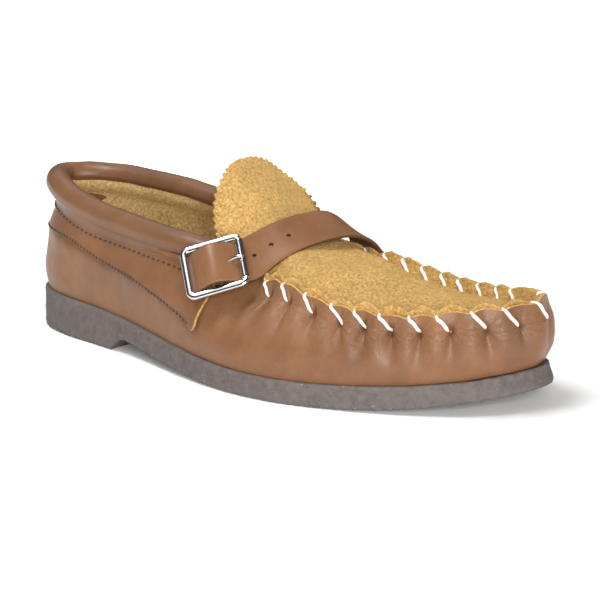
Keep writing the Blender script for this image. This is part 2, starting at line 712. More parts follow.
def toe_out(where):
    """How far the toe swells out over the sole."""
    return TOE_OUT * ramp(where.s, 250, 282)[:, None]


def vamp_outer(where, z):
    """d of the vamp's outer face without its puckers."""
    share = lip_share(where)[:, None]
    crease = (where.top - LIP_HEIGHT)[:, None]
    base = where.base[:, None]
    crease_d = (where.inset - LIP_LEAN)[:, None]
    w = np.clip((z - base) / (crease - base), 0, 1)
    low = WELT_LEDGE + (crease_d - WELT_LEDGE) * w ** 2.3 - UPPER_BULGE * np.sin(pi * w)
    high = crease_d + LIP_LEAN * np.clip((z - crease) / LIP_HEIGHT, 0, 1.4) ** 0.8
    lipped = np.where(z > crease, high, low)
    swell = toe_out(where) * np.clip((z - base) / 8, 0, 1)
    return share * (lipped - swell) + (1 - share) * (where.wall(z) + hollow(where, z))


def vamp():
    t_low, t_high = place("lateral", 150), place("medial", 152)
    t = np.concatenate([np.linspace(0, t_low, 170, endpoint=False),
                        np.linspace(t_low, t_high, 900, endpoint=False),
                        np.linspace(t_high, 1, 170, endpoint=False)])
    where = Round(t)
    end = vamp_edge(where)
    share = lip_share(where)
    end = share * rim_height(where) + (1 - share) * end
    rows = 78
    z, _ = levels(where.base - 0.3, end, rows, 0.86)
    down = where.top[:, None] - z
    pushed = puckers(where, down)
    outer = vamp_outer(where, z) + pushed
    smooth_push = np.array([0.5 * pushed[:, max(j - 2, 0)] + 0.5 * pushed[:, min(j + 2, rows - 1)]
                            for j in range(rows)]).T
    back = np.arange(rows - 1, -1, -3)
    inner = vamp_outer(where, z[:, back]) + LIP + 0.75 * smooth_push[:, back]
    round_d = outer[:, -1:] + LIP * np.array([[0.12, 0.5, 0.88]])
    fray = roughness(where.at(round_d, z[:, -1:]), 1.1, 0.35, 3)
    round_z = z[:, -1:] + np.array([[0.22, 0.34, 0.22]]) + fray
    d = np.hstack([outer, round_d, inner])
    height = np.hstack([z, round_z, z[:, back]])
    points = where.at(d, height)
    swell = roughness(points[:, :rows], 16.0, 0.55, 1) + roughness(points[:, :rows], 5.0, 0.16, 2)
    fade = np.clip((z - where.base[:, None]) / 6, 0, 1)
    points[:, :rows, :2] -= where.inward[:, None, :] * (swell * fade)[:, :, None]
    n, m = points.shape[:2]
    faces = tube_faces(n, m, close_rows=True, close_columns=True)
    inner_from = rows - 1
    which = [1 if (i % m) >= inner_from and (i % m) < m - 1 else 0 for i in range(len(faces))]
    mark = np.zeros((n, m))
    near_seam = np.exp(-((down - 10.0) / 9.0) ** 2) * share[:, None]
    mark[:, :rows] = np.clip(near_seam, 0, 1)
    made = piece("vamp_leather", points, faces, [VAMP_LEATHER, RAW_EDGE],
                 which=which, marks={"pucker": mark.ravel()})
    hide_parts("vamp")


vamp()

# ---- apron and tongue -----------------------------------------------------------------------------
APRON_GAP = 0.35           # between the two standing edges
FOLD_DOWN = 7.2            # apron's fold under the rim's top
REAR = 157.0               # the tongue begins here
FAN = 243.0                # rim points beyond this all look to one point of the centre line
ACROSS = 150               # steps from the rim to the centre line
LIP_ROWS = 12              # rows of the standing edge
FLAP_ROWS = 96             # rows of the tongue
SUEDE_THICK = 1.5
FREE_EDGE = [
    (-26.5, 138.5, 58.0), (-25.3, 136.6, 63.0), (-24.0, 134.3, 69.5), (-22.3, 132.4, 76.0),
    (-19.5, 131.6, 82.2), (-15.5, 131.2, 87.4), (-10.0, 131.0, 91.8), (-3.5, 130.6, 94.0),
    (4.0, 130.0, 94.3), (11.0, 129.9, 93.6), (18.0, 130.3, 91.3), (25.8, 131.3, 86.6),
    (33.0, 133.2, 80.8), (38.0, 136.2, 75.2), (39.8, 140.2, 69.5), (39.2, 145.0, 63.5)]
PINK, PINK_PITCH = 1.25, 3.7   # pinked edge: depth and pitch


def rim_of(t):
    """Places, points and stations of the apron's rim."""
    where = Round(t)
    xy = where.foot + where.inward * (where.inset + LIP + APRON_GAP)[:, None]
    return where, xy, SOLE_LENGTH / 2 - xy[:, 1]


def side_at(side, stations):
    """t of the rim points that lie at the given stations."""
    t = np.linspace(place(side, 140), T_TOE, 700)
    _, _, s = rim_of(t)
    order = np.argsort(s)
    return np.interp(stations, s[order], t[order])


def apron_points():
    """Lattice of the apron: its standing edge, then its face in to the centre line."""
    stations = np.linspace(REAR, FAN, 230)
    left = side_at("lateral", stations)
    right = side_at("medial", stations)
    toe = np.linspace(left[-1], right[-1], 240)[1:-1]
    t = np.concatenate([left, toe, right[::-1]])
    spine_s = np.concatenate([stations, np.full(len(toe), FAN), stations[::-1]])
    where, xy, _ = rim_of(t)
    left_xy, right_xy = rim_of(left)[1], rim_of(right)[1]
    spine_x = np.interp(spine_s, stations, (left_xy[:, 0] + right_xy[:, 0]) / 2)
    spine = np.stack([spine_x, SOLE_LENGTH / 2 - spine_s], axis=-1)
    share = lip_share(where)
    phase = stitch_phase(where.t)
    ahead_of_strap = ramp(where.s, 178, 215)
    fold_z = where.top - 3.0 - (FOLD_DOWN - 5.0 + 2.0 * ahead_of_strap) * share
    rho = np.linspace(0, 1, ACROSS + 1)
    crown = curve(CROWN, spine_s)
    across = 1 - (1 - rho)[None, :] ** (1.8 + 2.0 * (1 - ahead_of_strap))[:, None]
    z = fold_z[:, None] + (crown - fold_z)[:, None] * across
    reach = np.linalg.norm(spine - xy, axis=1)[:, None]
    start = 1.4 * share[:, None] / reach
    r = start + (1 - start) * rho[None, :]
    points = xy[:, None, :] + (spine - xy)[:, None, :] * r[:, :, None]
    surface = np.concatenate([points, z[:, :, None]], axis=2)
    # the standing edge beside the vamp's
    u = np.linspace(1, 0, LIP_ROWS, endpoint=False)[None, :]
    gape = 1.1 * np.sin(pi * (phase - np.floor(phase))) ** 2 * (1 + 0.6 * per_stitch(5, phase))
    lean = (1.0 - u) ** 2 * 1.2
    scallop = np.sin(pi * (phase - np.floor(phase))) ** 0.8
    near = NEAR_STEP / 2 * near_side(where)
    top = where.top + share * (-1.1 + near + (2.3 + 0.8 * per_stitch(6, phase)) * scallop)
    lip_z = fold_z[:, None] + (np.maximum(top - fold_z, 0.6)[:, None]) * u
    pulled = puckers(where, np.full((len(t), 1), 5.0))
    lip_d = (where.inset + LIP + APRON_GAP)[:, None] + 0.5 * pulled
    lip_d = lip_d + (gape * share)[:, None] * u + lean + 0.65
    lip_d = lip_d - toe_out(where) * u
    lip = where.at(lip_d, lip_z)
    body = np.concatenate([lip, surface], axis=1)
    lumps = roughness(body, 9.0, 0.7, 5) + roughness(body, 1.5, 0.34, 6)
    on_face = np.ones(body.shape[1] - LIP_ROWS)
    body[:, :, 2] += lumps * np.concatenate([np.linspace(0.2, 0.6, LIP_ROWS), on_face])[None, :]
    return body


def tongue_points(body):
    """Lattice of the tongue, from the apron's rear row up to its free edge."""
    first, last = body[0, LIP_ROWS:], body[-1, LIP_ROWS:]
    row = np.vstack([first, last[::-1][1:]])
    ahead = np.vstack([body[4, LIP_ROWS:], body[-5, LIP_ROWS:][::-1][1:]])
    count = len(row)
    a = distances(row)
    a = a / a[-1]
    free = through([(x, SOLE_LENGTH / 2 - s, z) for x, s, z in FREE_EDGE], 600)
    free_walk = distances(free)
    even = 0.25 * a + 0.75 * np.linspace(0, 1, count)
    free_at = np.stack([np.interp(even * free_walk[-1], free_walk, free[:, i]) for i in range(3)],
                       axis=-1)
    pinked = PINK * abs(np.sin(pi * even * free_walk[-1] / PINK_PITCH))
    span = np.linalg.norm(free_at - row, axis=1)[:, None]
    even_out = np.ones(61) / 61
    leave = np.stack([np.convolve(np.pad(row[:, i] - ahead[:, i], 30, "edge"), even_out, "valid")
                      for i in range(3)], axis=-1)
    leave = 1.15 * unit(0.40 * unit(leave) + 0.60 * np.array([0.0, 0.6, 0.8])[None, :])
    arrive = np.array([0.0, 0.52, 0.85])[None, :] + np.zeros_like(row)
    outwards = unit(np.cross(np.gradient(free_at, axis=0), (0.0, -0.85, 0.53)))
    outwards *= np.sign((outwards * (free_at - free_at.mean(axis=0))).sum(axis=1))[:, None]
    cut = outwards * (pinked - PINK / 2)[:, None]
    rows_up = []
    for w in np.linspace(0, 1, FLAP_ROWS + 1)[1:]:
        h00, h10 = 2 * w ** 3 - 3 * w ** 2 + 1, w ** 3 - 2 * w ** 2 + w
        h01, h11 = -2 * w ** 3 + 3 * w ** 2, w ** 3 - w ** 2
        rows_up.append(h00 * row + h10 * span * leave + h01 * free_at + h11 * span * arrive + cut * w ** 14)
    flap = np.array(rows_up)
    flap += (roughness(flap, 11.0, 0.8, 8) + roughness(flap, 1.5, 0.34, 9))[:, :, None] * np.array(
        [0.0, -0.5, 0.6])
    return flap


def apron():
    """Apron and tongue, one sheet of suede."""
    body = apron_points()
    flap = tongue_points(body)
    n, m = body.shape[:2]
    count = flap.shape[1]
    rear = np.concatenate([np.arange(LIP_ROWS, m), (n - 1) * m + np.arange(m - 2, LIP_ROWS - 1, -1)])
    grid = np.vstack([rear[None, :], n * m + np.arange(FLAP_ROWS * count).reshape(FLAP_ROWS, count)])
    faces = tube_faces(n, m, close_columns=False, caps=False)
    for i in range(FLAP_ROWS):
        for j in range(count - 1):
            corners = (grid[i, j], grid[i, j + 1], grid[i + 1, j + 1], grid[i + 1, j])
            faces.append(tuple(int(corner) for corner in corners))
    everything = np.vstack([body.reshape(-1, 3), flap.reshape(-1, 3)])
    made = piece("apron_and_tongue", everything, faces, [APRON_SUEDE], body=None)
    normals = np.empty(len(made.data.polygons) * 3)
    made.data.polygons.foreach_get("normal", normals)
    upwards = normals[2::3].sum() > 0
    thick = made.modifiers.new("thickness", "SOLIDIFY")
    thick.thickness = SUEDE_THICK * MM
    thick.offset = -1.0 if upwards else 1.0
    baked(made)
    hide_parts("apron", "tongue")
    return made


apron_piece = apron()

# ---- whip lace ------------------------------------------------------------------------------------
LACE = 0.86                # radius
# each stitch runs from its hole up the vamp, over the rim and down the apron's standing edge
OUTER_ALONG = np.array([1.0, 0.78, 0.42, 0.14])         # places of the outer leg, in slants
INNER_ALONG = np.array([0.0, -0.04, -0.17, -0.31, -0.40])   # the rim and the inner leg, in pitches
LACE_DOWN = np.array([HOLE_DOWN + 0.6, HOLE_DOWN - 1.6, 4.2, 1.2, -0.9, 0.9, 3.6, 6.0, 7.4])
INNER_LEG = np.array([1.0, 1.4, 2.0, 2.1])              # the inner leg, off the apron's edge


def lace():
    parts = []
    for k in range(STITCHES):
        slant = SLANT * (1 + 0.12 * wobble[2, k])
        where = Round(STITCH_T[k] + PITCH_T * np.concatenate([slant * OUTER_ALONG, INNER_ALONG]))
        top = rim_height(Round([STITCH_T[k]]))[0]
        z = where.top - LACE_DOWN
        z[4] = top + 0.45
        z[3] = min(z[3], top - 0.2)
        z[5] = min(z[5], top - 0.3)
        face = vamp_outer(where, z[:, None])[:, 0]
        pushed = puckers(where, (where.top - z)[:, None])[:, 0]
        apron_face = where.inset[5:] + LIP + APRON_GAP + 0.5 * pushed[5:] - toe_out(where)[5:, 0]
        d = np.concatenate([[face[0] + pushed[0] + 0.9], face[1:4] + 0.6 * pushed[1:4] - 0.75,
                            [where.inset[4] + LIP - toe_out(where)[4, 0]], apron_face + INNER_LEG])
        path = through(where.at(d, z)[:, 0], 64)
        parts.append(tube(path, LACE, 14, taper=3.2, flat=0.80))
    points, faces, uv = join_parts(parts)
    made = piece("whip_lace_stitches", points, faces, [WHITE_CORD], uv=uv)
    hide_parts("whip_lace")


lace()

# ---- quarters -------------------------------------------------------------------------------------
QUARTER = 1.4               # thickness of the panel
TAB_END = 142.8             # front edge of the quarter's tab
QUARTER_OUT = -1.6          # its outer face, from the upper's wall
# the panel's lower edge, turned up into the front of its tab
TAB_FRONT = QUARTER_SEAM[:-1] + [(137, 24.9), (140.6, 23.8), (142.0, 24.3), (142.9, 26.2)]
PANEL_TOP_UNDER = 10.0     # panel ends this far under the top line, inside the collar


def quarter_face(where, z):
    """d of the quarter's outer face."""
    at_heel = (1 - ramp(where.s, 0, 45))[:, None]
    return where.wall(z, QUARTER_OUT) + hollow(where, z) + 0.9 * at_heel


def quarter(side):
    where = Round(np.linspace(beside_heel(side, 0.0006), place(side, TAB_END), 420))
    low = curve(TAB_FRONT, where.s)
    nibbled = ramp(where.s, 60, 85) * (1 - ramp(where.s, 134, 139))
    low = low + 0.45 * abs(np.sin(where.s * pi / 3.0)) * nibbled
    high = np.maximum(where.top - PANEL_TOP_UNDER, low + 1.0)
    z, w = levels(low, high, 44)
    face = quarter_face(where, z)
    face = face + roughness(where.at(face, z), 22.0, 0.5, 12) * (1 - 0.6 * w)[None, :]
    front = ramp(where.s, 132, TAB_END)[:, None]
    face = face - 1.5 * front * (1 - 0.5 * w[None, :])
    edge_d = face[:, :1] + QUARTER * np.array([[0.85, 0.5, 0.15]])
    edge_z = z[:, :1] - np.array([[0.16, 0.28, 0.16]])
    inner = face[:, ::-4] + QUARTER
    d = np.hstack([face, inner, edge_d])
    height = np.hstack([z, z[:, ::-4], edge_z])
    points = where.at(d, height)
    n, m = points.shape[:2]
    faces = tube_faces(n, m)
    which = [0 if (i % m) < m - 4 else 1 for i in range(n * m - m)] + [1, 1]
    made = piece(f"quarter_panel_{side}", points, faces, [PANEL_LEATHER, RAW_EDGE],
                 which=which)
    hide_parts(f"quarter_{side}")


quarter("lateral")
quarter("medial")


def stitch_row(name, t_from, t_to, height, length, pitch, radius, face, slant=0.0, look=THREAD):
    """Small thread dashes along a line of the upper."""
    count = int(abs(t_to - t_from) * PERIMETER / pitch)
    parts = []
    for t in np.linspace(t_from, t_to, count):
        half = length / 2 / PERIMETER
        where = Round(np.linspace(t - half, t + half, 7))
        z = height(where) + np.linspace(-slant, slant, 7) * np.sign(t_to - t_from)
        arch = 1 - np.linspace(-1, 1, 7) ** 2
        d = face(where, z[:, None])[:, 0] + 0.25 - (radius + 0.22) * arch
        parts.append(tube(where.at(d, z)[:, 0], radius, 8, taper=0.6))
    points, faces, uv = join_parts(parts)
    piece(name, points, faces, [look], uv=uv)


def row_height(where):
    """Height of the thread that holds the collar."""
    return valley(where) - 1.7


for side_name, far in (("lateral", 131), ("medial", 138)):
    start = beside_heel(side_name, 0.012)
    stitch_row(f"collar_thread_{side_name}", start, place(side_name, far), row_height, 2.4, 3.6, 0.42,
               quarter_face, 0.12)
    stitch_row(f"seam_thread_{side_name}", start, place(side_name, 139),
               lambda where: curve(TAB_FRONT, where.s) + 0.9, 1.7, 2.6, 0.40, quarter_face, -0.35)

# ---- collar ---------------------------------------------------------------------------------------
ROLL_SHIFT = 2.7           # the roll's centre, inwards of the top line
ROLL_HALF = 6.2            # half its width
ROLL_RISE = 6.2            # half its height
ROLL_FROM, ROLL_TO = -38, 183   # degrees of its section that show, from the outer side


def collar():
    where = Round(np.linspace(place("medial", 150) - 1, place("lateral", 141), 520))
    share = np.linspace(0, 1, len(where.t))
    ends = np.minimum(share / 0.035, (1 - share) / 0.045)
    slim = (0.55 + 0.45 * ramp(ends, 0, 1))[:, None]
    drop = (1 - ramp(ends, 0, 1))[:, None] * 4.0
    centre_d = (where.inset + ROLL_SHIFT)[:, None] + 1.2 * (1 - slim)
    centre_z = (where.top - ROLL_RISE)[:, None] - drop
    angle = np.radians(np.linspace(ROLL_FROM, ROLL_TO, 38))[None, :]
    roll_d = centre_d - ROLL_HALF * slim * np.cos(angle)
    roll_z = centre_z + ROLL_RISE * slim * np.sin(angle)
    skirt_z = valley(where)[:, None] + np.array([[-0.4, 0.3, 1.2]]) - drop * 0.6
    skirt_d = quarter_face(where, skirt_z) + np.array([[0.4, -0.35, -0.15]])
    facing_z = centre_z - np.array([[1.6, 2.8]])
    facing_d = centre_d + np.array([[5.3, 4.2]])
    base_z = centre_z - np.array([[4.6, 6.6]])
    base_d = np.maximum(centre_d + np.array([[3.0, 0.4]]), skirt_d[:, :1] + 0.8)
    d = np.hstack([skirt_d, roll_d, facing_d, base_d])
    z = np.hstack([skirt_z, roll_z, facing_z, base_z])
    points = where.at(d, z)
    points[:, :, 2] += roughness(points, 14.0, 0.35, 21) + roughness(points, 3.0, 0.07, 22)
    made = piece("collar_roll", points, tube_faces(*points.shape[:2]), [ROLL_LEATHER])
    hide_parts("collar_cover")


collar()

# ---- lining ---------------------------------------------------------------------------------------
LINING_IN = 3.6            # the lining, inwards of the upper's wall
BAND_TOP_DOWN = 5.6        # top of the puffed band, under the roll
BAND_DOWN = 15.0           # the collar band's lower seam in the lining


def lining_face(where, z):
    """d of the lining's face towards the foot."""
    top = where.top[:, None]
    tucked = 2.2 * ramp(z, top - BAND_DOWN - 3, top - BAND_DOWN + 1)
    share = np.clip((z - (top - BAND_DOWN)) / (BAND_DOWN - BAND_TOP_DOWN), 0, 1)
    tucked = tucked + 2.6 * np.sin(pi * share) ** 0.8
    return where.wall(z, LINING_IN) + 1.0 + tucked


def lining():
    where = Round(np.linspace(place("medial", 150) - 1, place("lateral", 150), 420))
    z, _ = levels(where.base + 4.4, where.top - BAND_TOP_DOWN, 60)
    face = lining_face(where, z)
    seam_line = np.exp(-((z - (where.top - BAND_DOWN)[:, None]) / 0.8) ** 2)
    face = face - 0.6 * seam_line
    face = face + roughness(where.at(face, z), 26.0, 0.9, 31) + roughness(where.at(face, z), 7, 0.25, 32)
    outer = face[:, ::-4] - 1.0
    points = where.at(np.hstack([face, outer]), np.hstack([z, z[:, ::-4]]))
    made = piece("shoe_lining", points, tube_faces(*points.shape[:2]), [LINING_SUEDE])
    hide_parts("quarter_lining")


lining()
for side_name, far in (("lateral", 140), ("medial", 146)):
    stitch_row(f"lining_thread_{side_name}", beside_heel(side_name, 0.004), place(side_name, far),
               lambda where: where.top - BAND_DOWN - 0.2, 1.5, 3.0, 0.20,
               lambda where, z: lining_face(where, z) - 0.35, look=TAN_THREAD)

# ---- insole, backstay -----------------------------------------------------------------------------
SOCK_IN = WELT_LEDGE + 5.6  # the sock pad's edge, inwards of the sole's
# its rings from the edge to the centre line: share of the way in, how far sunk, 1 on the upper face
SOCK_RINGS = [(0.0, 0.9, 0), (0.0, 0.2, 0), (0.004, -0.1, 0), (0.03, 0.0, 1), (0.1, 0.15, 1),
              (0.25, 0.35, 1), (0.45, 0.5, 1), (0.7, 0.6, 1), (1.0, 0.6, 1)]


def insole():
    where = Round(np.linspace(0, 1, 420, endpoint=False))
    rings = []
    for share, sink, lift in SOCK_RINGS:
        edge = where.foot + where.inward * SOCK_IN
        spine_s = np.clip(where.s, 34, 236)
        spine = np.stack([np.interp(spine_s, [34, 100, 236], [7, 3, 8]), SOLE_LENGTH / 2 - spine_s], -1)
        xy = edge + (spine - edge) * share
        z = level(SOLE_LENGTH / 2 - xy[:, 1]) + 8.5 - sink * (0.5 + 0.5 * lift)
        rings.append(np.concatenate([xy, z[:, None]], axis=1))
    lattice = np.array(rings).transpose(1, 0, 2)
    lattice[:, 3:, 2] += roughness(lattice[:, 3:], 12.0, 0.25, 41)
    faces = tube_faces(*lattice.shape[:2], close_rows=True, close_columns=False)
    made = piece("sock_pad", lattice, faces, [LINING_SUEDE])
    thick = made.modifiers.new("thickness", "SOLIDIFY")
    thick.thickness = 0.9 * MM
    thick.offset = -1.0
    baked(made)
    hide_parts("sock_lining")


insole()


STAY_HALF = 0.0170          # half the heel strip, as a share of the way round the sole
STAY_THREAD = np.arange(22.0, 47.0, 2.9)    # heights where its stitches begin


def backstay():
    where = Round(np.linspace(-STAY_HALF, STAY_HALF, 48))
    z, w = levels(where.base - 0.6, curve(QUARTER_SEAM, where.s) + 2.0, 60)
    outside = quarter_face(where, z) + 0.25
    side = np.abs(np.linspace(-1, 1, 48))[:, None]
    outside = outside + 1.2 * ramp(side, 0.9, 1.0) + 0.2 * ramp(w, 0.96, 1.0)[None, :]
    inner = quarter_face(where, z[:, ::-3]) + 1.55
    points = where.at(np.hstack([outside, inner]), np.hstack([z, z[:, ::-3]]))
    made = piece("back_strip", points, tube_faces(*points.shape[:2]), [STAY_SUEDE])
    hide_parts("backstay")
    parts = []
    arch = 1 - np.linspace(-1, 1, 6) ** 2
    for t in (-STAY_HALF * 0.80, STAY_HALF * 0.80):
        for start_z in STAY_THREAD:
            line = Round(np.full(6, t))
            height = np.linspace(start_z, start_z + 1.8, 6)
            d = quarter_face(line, height[:, None])[:, 0] + 0.30 - 0.25 * arch
            parts.append(tube(line.at(d, height)[:, 0], 0.24, 8, taper=0.5))
    points, faces, uv = join_parts(parts)
    piece("back_strip_thread", points, faces, [THREAD], uv=uv)


backstay()

# ---- sole -----------------------------------------------------------------------------------------
TOE_FLARE = 2.2            # the lower edge stands out at the toe
SOLE_VOXEL = 0.75          # size of the mesh that carries the rubber's grain


def outsole():
    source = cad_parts["outsole"]
    mesh = source.data.copy()
    mesh.transform(source.matrix_world)
    mesh.materials.clear()
    mesh.materials.append(SOLE_RUBBER)
    made = added("moulded_sole", mesh)
    grown = made.modifiers.new("grain", "REMESH")
    grown.mode = "VOXEL"
    grown.voxel_size = SOLE_VOXEL * MM
    baked(made)
    mesh = made.data
    at = np.empty(len(mesh.vertices) * 3)
    normal = np.empty(len(mesh.vertices) * 3)
    mesh.vertices.foreach_get("co", at)
    mesh.vertices.foreach_get("normal", normal)
    at, normal = at.reshape(-1, 3) / MM, normal.reshape(-1, 3)
    side = np.clip(1 - abs(normal[:, 2]) * 1.3, 0, 1)
    bottom = np.clip(-normal[:, 2], 0, 1)
    push = roughness(at, 3.2, 0.26, 51) + roughness(at, 1.3, 0.20, 52) + roughness(at, 9.0, 0.35, 53)
    moved = at + normal * (push * (0.25 + 0.75 * side) * (1 - 0.7 * bottom))[:, None]
    s = SOLE_LENGTH / 2 - at[:, 1]
    moved[:, 1] -= TOE_FLARE * ramp(s, 240, 284) * (1 - ramp(at[:, 2], 9, 17))
    moved[:, 2] = np.maximum(moved[:, 2], 0.0)
    mesh.vertices.foreach_set("co", (moved * MM).ravel())
    mesh.update()
    mesh.polygons.foreach_set("use_smooth", [True] * len(mesh.polygons))
    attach(made, "shoe")
    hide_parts("outsole")


outsole()

# ---- buckle ---------------------------------------------------------------------------------------
BUCKLE_AT = np.array([-39.9, SOLE_LENGTH / 2 - 147.6, 52.2])
ALONG = unit(np.array([0.55, -0.783, 0.293]))   # along the strap, towards the roller
OUT = np.array([-0.735, -0.286, 0.615])         # out of the shoe, before it is squared to ALONG
OUT = unit(OUT - ALONG * (OUT @ ALONG))
ACROSS_B = np.cross(OUT, ALONG)                 # along the roller
RING_HALF = (14.6 - 1.6, 13.6 - 1.6)            # to the middle of the ring's bar, along and across
RING_CORNER = 2.6
RING_WIDE, RING_TALL = 1.70, 1.25               # half the bar's section
RING_SQUARE = 0.78                              # below 1 the section is squarer than an oval
PIN_AT = -0.15                                  # the middle bar, out of the ring's plane
PIN_HALF, PIN_RADIUS = 12.3, 1.15
ROLLER_ALONG = 13.05
ROLLER_HALF, ROLLER_RADIUS, ROLLER_BORE = 10.2, 1.95, 1.3
EYE_RADIUS = 1.95                               # the prong's eye, to the middle of its wire
EYE_WIRE, SHANK_WIRE = 0.75, 0.98


def buckle_point(along, across, out):
    """Points of the shoe from buckle coordinates (arrays)."""
    along, across, out = np.broadcast_arrays(*(np.asarray(v, float) for v in (along, across, out)))
    return (BUCKLE_AT + along[..., None] * ALONG + across[..., None] * ACROSS_B + out[..., None] * OUT)


def rounded_path(half_x, half_y, radius, per_corner=14, per_side=24):
    """Closed rounded rectangle, as (n, 2) points with their outward normals."""
    points, normals = [], []
    corners = [(half_x - radius, half_y - radius, 0), (-half_x + radius, half_y - radius, 90),
               (-half_x + radius, -half_y + radius, 180), (half_x - radius, -half_y + radius, 270)]
    for k, (cx, cy, start) in enumerate(corners):
        for a in np.radians(np.linspace(start, start + 90, per_corner)):
            points.append((cx + radius * np.cos(a), cy + radius * np.sin(a)))
            normals.append((np.cos(a), np.sin(a)))
        nx, ny, _ = corners[(k + 1) % 4]
        a = np.radians(start + 90)
        offset = np.array([np.cos(a), np.sin(a)])
        p0, p1 = np.array([cx, cy]) + radius * offset, np.array([nx, ny]) + radius * offset
        for u in np.linspace(0, 1, per_side + 1)[1:-1]:
            points.append(tuple(p0 + (p1 - p0) * u))
            normals.append(tuple(offset))
    return np.array(points), np.array(normals)


def buckle_ring():
    centre, normal = rounded_path(*RING_HALF, RING_CORNER)
    angle = np.linspace(0, 2 * pi, 28, endpoint=False)
    wide = RING_WIDE * np.sign(np.cos(angle)) * abs(np.cos(angle)) ** RING_SQUARE
    tall = RING_TALL * np.sign(np.sin(angle)) * abs(np.sin(angle)) ** RING_SQUARE
    in_roller = ramp(centre[:, 0], 12.2, 13.0) * (1 - ramp(abs(centre[:, 1]), 10.3, 10.9))
    slim = 1 - 0.42 * in_roller[:, None]
    x = centre[:, :1] + normal[:, :1] * wide[None, :] * slim
    y = centre[:, 1:] + normal[:, 1:] * wide[None, :] * slim
    ring = buckle_point(x, y, tall[None, :] * slim).reshape(-1, 3)
    along_pin = np.linspace(-PIN_HALF, PIN_HALF, 24)
    parts = [(ring, tube_faces(len(centre), 28, close_rows=True), np.zeros((len(ring), 2))),
             tube(buckle_point(0.0, along_pin, PIN_AT), PIN_RADIUS, 20)]
    points, faces, uv = join_parts(parts)
    made = piece("buckle_ring", points, faces, [NICKEL], "buckle", uv=uv)
    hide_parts("buckle_frame")


def buckle_roller():
    """A rolled sheet tube with lipped ends and its butt joint."""
    across = np.linspace(-ROLLER_HALF, ROLLER_HALF, 60)
    radius = ROLLER_RADIUS - 0.22 * np.exp(-((abs(across) - ROLLER_HALF) / 0.35) ** 2)
    angle = np.linspace(0, 2 * pi, 40, endpoint=False)
    joint = 1 - 0.10 * np.exp(-((angle - 3.9) / 0.10) ** 2)
    outer = [(r * joint * np.cos(angle), r * joint * np.sin(angle)) for r in radius]
    rings = [buckle_point(ROLLER_ALONG + c, at, s) for (c, s), at in zip(outer, across)]
    bore = (ROLLER_BORE * np.cos(angle), ROLLER_BORE * np.sin(angle))
    inner = [buckle_point(ROLLER_ALONG + bore[0], at, bore[1]) for at in across[::-6]]
    lattice = np.array(rings + inner)
    faces = tube_faces(len(lattice), 40, close_rows=True)
    made = piece("buckle_roller_tube", lattice, faces, [NICKEL], "roller")
    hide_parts("buckle_roller")


def buckle_prong():
    """An eye round the middle bar and a shank that lies on the roller."""
    turn = np.radians(np.linspace(-150, 165, 40))
    eye = buckle_point(EYE_RADIUS * np.cos(turn), 0.0, PIN_AT + EYE_RADIUS * np.sin(turn))
    shank = through(buckle_point([1.6, 4.0, 6.5, 9.0, 11.0, 13.2, 14.7], 0.0,
                                 [1.0, 0.3, 0.9, 2.2, 3.0, 3.05, 2.6]), 60)
    parts = [tube(eye, EYE_WIRE, 14, taper=0.5), tube(shank, SHANK_WIRE, 16, taper=1.6, flat=0.85)]
    points, faces, uv = join_parts(parts)
    made = piece("buckle_tongue_prong", points, faces, [NICKEL], "prong", uv=uv)
    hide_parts("buckle_prong")


buckle_ring()
buckle_roller()
buckle_prong()

# ---- strap and chape ------------------------------------------------------------------------------
STRAP_HALF = 10.0          # half its width
STRAP_THICK = 2.0
HOLES = [(5, 0.60), (6, 0.38), (6, 0.98)]   # each between a point of STRAP_LINE and the next


def buckle_station(along, out):
    """x, station and z of a point on the buckle's middle line."""
    x, y, z = buckle_point(along, 0.0, out)
    return (float(x), float(SOLE_LENGTH / 2 - y), float(z))


def flipped(v):
    """A direction with its y turned into a station, or back."""
    return (v[0], -v[1], v[2])


ACROSS_S = flipped(ACROSS_B)
# the strap's middle line as (x, station, z), each with the direction of its width
STRAP_LINE = [
    (buckle_station(-14.8, -6.4), ACROSS_S), (buckle_station(-11.5, -3.6), ACROSS_S),
    (buckle_station(-7.0, 0.6), ACROSS_S), (buckle_station(0.0, 3.5), ACROSS_S),
    (buckle_station(7.0, 0.2), ACROSS_S), (buckle_station(13.2, -3.7), ACROSS_S),
    ((-20.6, 158.9, 57.7), (0.38, -0.66, 0.65)), ((-6.6, 163.6, 63.0), (0.34, -0.76, 0.55)),
    ((8.0, 167.8, 65.4), (0.25, -0.84, 0.48)), ((20.0, 171.0, 65.3), (0.12, -0.89, 0.45)),
    ((30.5, 172.8, 60.5), (0.04, -0.92, 0.38)), ((37.0, 173.2, 54.2), (0.00, -0.95, 0.28)),
    ((41.8, 172.6, 48.2), (0.00, -0.97, 0.16)), ((46.2, 171.2, 38.5), (0.00, -1.00, 0.05))]


def punch(strap_piece, places, path, ahead, width, up):
    """Cuts round holes through the strap at the given rows of its path."""
    ring = np.radians(np.linspace(0, 360, 20, endpoint=False))
    cutters = []
    for i in places:
        circle = np.outer(np.cos(ring), ahead[i]) * 1.15 + np.outer(np.sin(ring), width[i]) * 1.0
        column = [path[i] + circle + up[i] * e for e in (-4, 4)]
        cutters.append((np.vstack(column), tube_faces(2, 20), np.zeros((40, 2))))
    points, faces, uv = join_parts(cutters)
    cutter = piece("hole_cutter", points, faces, [DARK_EDGE], body=None, uv=uv)
    holes = strap_piece.modifiers.new("holes", "BOOLEAN")
    holes.operation = "DIFFERENCE"
    holes.solver = "EXACT"
    holes.material_mode = "TRANSFER"
    holes.object = cutter
    baked(strap_piece)
    bpy.data.objects.remove(cutter)


